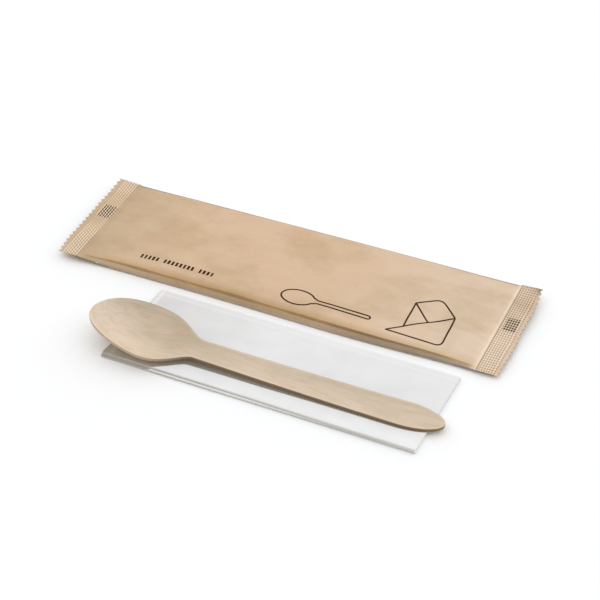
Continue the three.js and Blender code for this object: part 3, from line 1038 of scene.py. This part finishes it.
def build_napkin(material):
    path, normal = folded_line()
    half = NAPKIN_LONG / 2
    fold_x = -half + PAIR_GAP / 2
    # Columns from the right end to the fold at the left, close together near the left border
    out = np.concatenate([np.linspace(half, fold_x + 7, 70), np.linspace(fold_x + 6.7, fold_x, 22)])
    columns = len(out)
    bend = np.radians(np.linspace(0, 180, 7)[1:-1])
    sheet_x = np.concatenate([out, fold_x - PAIR_GAP / 2 * np.sin(bend), out[::-1]])
    offset = np.concatenate([np.full(columns, 1.0), np.cos(bend), np.full(columns, -1.0)])
    offset = offset * PAIR_GAP / 2
    # Direction of the sheet's own face, in the plane of x and the path's normal
    face_x = np.concatenate([np.zeros(columns), -np.sin(bend), np.zeros(columns)])
    face_n = np.concatenate([np.full(columns, 1.0), np.cos(bend), np.full(columns, -1.0)])

    skins = []
    for side in (1, -1):
        x = np.broadcast_to((sheet_x + side * face_x * TISSUE / 2)[:, None],
                            (len(sheet_x), len(path)))
        push = (offset + side * face_n * TISSUE / 2)[:, None]
        y = -path[None, :, 0] - push * normal[None, :, 0]
        z = path[None, :, 1] + push * normal[None, :, 1]
        skins.append(settle(x, y, z))
    grid = np.stack(skins)
    count = grid[0, :, :, 0].size
    ids = np.arange(2 * count).reshape(2, len(sheet_x), len(path))
    faces = grid_faces(ids[0]) + grid_faces(ids[1], flip=True)
    for outer, inner in ((ids[1, 0], ids[0, 0]), (ids[0, -1], ids[1, -1]),
                         (ids[0, :, 0], ids[1, :, 0]), (ids[1, :, -1], ids[0, :, -1])):
        faces += grid_faces(np.stack([outer, inner]))
    points = grid.reshape(-1, 3)
    border = border_mask(points)
    turned = points.copy()
    turned[:, 0] = points[:, 0] * math.cos(NAPKIN_TURN) - points[:, 1] * math.sin(NAPKIN_TURN)
    turned[:, 1] = points[:, 0] * math.sin(NAPKIN_TURN) + points[:, 1] * math.cos(NAPKIN_TURN)
    turned += (NAPKIN_CENTRE[0], NAPKIN_CENTRE[1], 0)
    napkin = add_piece("tissue_napkin", turned, faces, material, sharp_angle=75)
    add_attribute(napkin, "border", border)
    return napkin


def settle(x, y, z):
    """Makes the folded stack lie as loose tissue does, from its neat form."""
    near = smooth((NEAR_REACH - NAPKIN_WIDE / 2 - y) / NEAR_REACH)
    tall = z / NAPKIN_TALL
    z = z * (1 + NEAR_PUFF * near ** 2)
    y = y + near * NEAR_WAVE * leaf_waves(x, z * 20)
    # Towards the left end, the near edge parts into two folds, one standing out below the other.
    left = smooth(0.55 - x / NAPKIN_LONG)
    groove = SPLIT_DEEP * bump(tall - SPLIT_AT - SPLIT_ABOVE, 0.1)
    step = lerp(UPPER_IN, -LOWER_OUT, smooth((SPLIT_AT - tall) / 0.14))
    y = y + near * left * (groove + step)
    border = bump(NAPKIN_WIDE / 2 - y - BORDER_IN, 0.7) + 0.7 * bump(from_left(x) - BORDER_IN, 0.7)
    top_leaf = smooth((z - level(UNDER_TOP)) / 0.1)
    z = z + TOP_WAVE * tall * napkin_waves(x, y) - BORDER_DEEP * border * top_leaf
    skew = LEFT_SKEW * y / NAPKIN_WIDE * 2 * smooth((-x - 20) / 50)
    return np.stack([x + skew, y, z], axis=-1)


def from_left(x):
    """How far x is from the napkin's left edge."""
    return x + NAPKIN_LONG / 2


def border_mask(points):
    """1 along the embossed border of the top leaf, at its far and left edges."""
    far = NAPKIN_WIDE / 2 - points[:, 1]
    lines = np.maximum(bump(far - BORDER_IN, 0.6), 0.8 * bump(far - 0.5, 0.5))
    side = 0.7 * bump(from_left(points[:, 0]) - BORDER_IN, 1.0)
    return np.maximum(lines, side) * (points[:, 2] > level(UNDER_TOP))


# ---- The pack ----

pouch = build_pouch(kraft_paper())
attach(pouch, "root")
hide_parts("pouch")

spoon = build_spoon(birch_wood())
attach(spoon, "root")
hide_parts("spoon")

napkin = build_napkin(white_tissue())
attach(napkin, "root")
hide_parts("napkin")

SPOON_SIGN = spoon_sign(tip=(2.0, -20.1), length=41.4)
# A square napkin, folded across its diagonal, with one corner of the layer behind showing
FRONT_LEAF = rounded([(52, -24.1), (77.3, -24.4), (76.3, -4.6)], [0, 3.2, 0])
BACK_LEAF = rounded([(58.2, -19.2), (57.6, -2.6), (67.2, 4.2), (76.3, -4.6)], [0, 0, 3.2, 0])
BACK_FOLD = [(57.6, -2.6), (67.0, -12.4)]
BARS = bar_row(start=(-67.0, -20.6), length=36.5, words=(5, 8, 4))
ink = brown_print()
prints = [
    ink_piece("print_spoon_sign", [(SPOON_SIGN, True)], ink),
    ink_piece("print_napkin_sign",
              [(FRONT_LEAF, True), (BACK_LEAF, False), (BACK_FOLD, False)], ink),
    ink_piece("print_bars", BARS, ink),
]
for piece in prints:
    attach(piece, "root")

# ---- Floor, light and camera ----

FLOOR_HALF = 6.0
floor_mesh = bpy.data.meshes.new("floor")
floor_mesh.from_pydata([(-FLOOR_HALF, -FLOOR_HALF, 0), (FLOOR_HALF, -FLOOR_HALF, 0),
                        (FLOOR_HALF, FLOOR_HALF, 0), (-FLOOR_HALF, FLOOR_HALF, 0)],
                       [], [(0, 1, 2, 3)])
floor = bpy.data.objects.new("floor", floor_mesh)
floor.data.materials.append(floor_white())
bpy.context.scene.collection.objects.link(floor)


def direction(azimuth, elevation):
    """A unit vector: azimuth in degrees from -Y towards +X, elevation above the table."""
    a, e = math.radians(azimuth), math.radians(elevation)
    return Vector((math.sin(a) * math.cos(e), -math.cos(a) * math.cos(e), math.sin(e)))


def add_sun(name, azimuth, elevation, strength, angle, colour):
    light = bpy.data.lights.new(name, "SUN")
    light.energy = strength
    light.angle = math.radians(angle)
    light.color = colour
    obj = bpy.data.objects.new(name, light)
    obj.rotation_euler = direction(azimuth, elevation).to_track_quat("Z", "Y").to_euler()
    bpy.context.scene.collection.objects.link(obj)
    return obj


def link_light(light_object, piece, state):
    """Lights only the piece, if the state is INCLUDE, or everything but it, if it is EXCLUDE."""
    group = bpy.data.collections.new(light_object.name + "_receivers")
    group.objects.link(piece)
    light_object.light_linking.receiver_collection = group
    group.collection_objects[0].light_linking.link_state = state


FILL = (1.05, 0.985, 0.85)  # the light all round is a little warm, as it is between warm things
BALANCE = (0.96, 1.015, 1.125)  # and the other lights make up for it
# The pack has a soft key light, and the table a broad one that leaves only contact shadows.
key = add_sun("softbox", azimuth=124, elevation=62, strength=2.32, angle=6.5, colour=BALANCE)
link_light(key, floor, "EXCLUDE")
overhead = add_sun("overhead", azimuth=185, elevation=64, strength=2.27, angle=140,
                   colour=BALANCE)
link_light(overhead, floor, "INCLUDE")

world = bpy.data.worlds.new("studio")
bpy.context.scene.world = world
world.use_nodes = True
world.node_tree.nodes["Background"].inputs["Color"].default_value = (*FILL, 1.0)
world.node_tree.nodes["Background"].inputs["Strength"].default_value = 0.465

CAMERA_TARGET = Vector((8.247, 13.536, 0.0)) * MM
CAMERA_DISTANCE = 825.5 * MM
camera = bpy.data.cameras.new("camera")
camera.lens = 113.57
camera.sensor_width = 36.0
camera.clip_end = 100
camera_object = bpy.data.objects.new("camera", camera)
view = direction(24.18, 38.04)
camera_object.location = CAMERA_TARGET + view * CAMERA_DISTANCE
camera_object.rotation_euler = view.to_track_quat("Z", "Y").to_euler()
bpy.context.scene.collection.objects.link(camera_object)
bpy.context.scene.camera = camera_object
bpy.context.scene.view_settings.view_transform = "Standard"
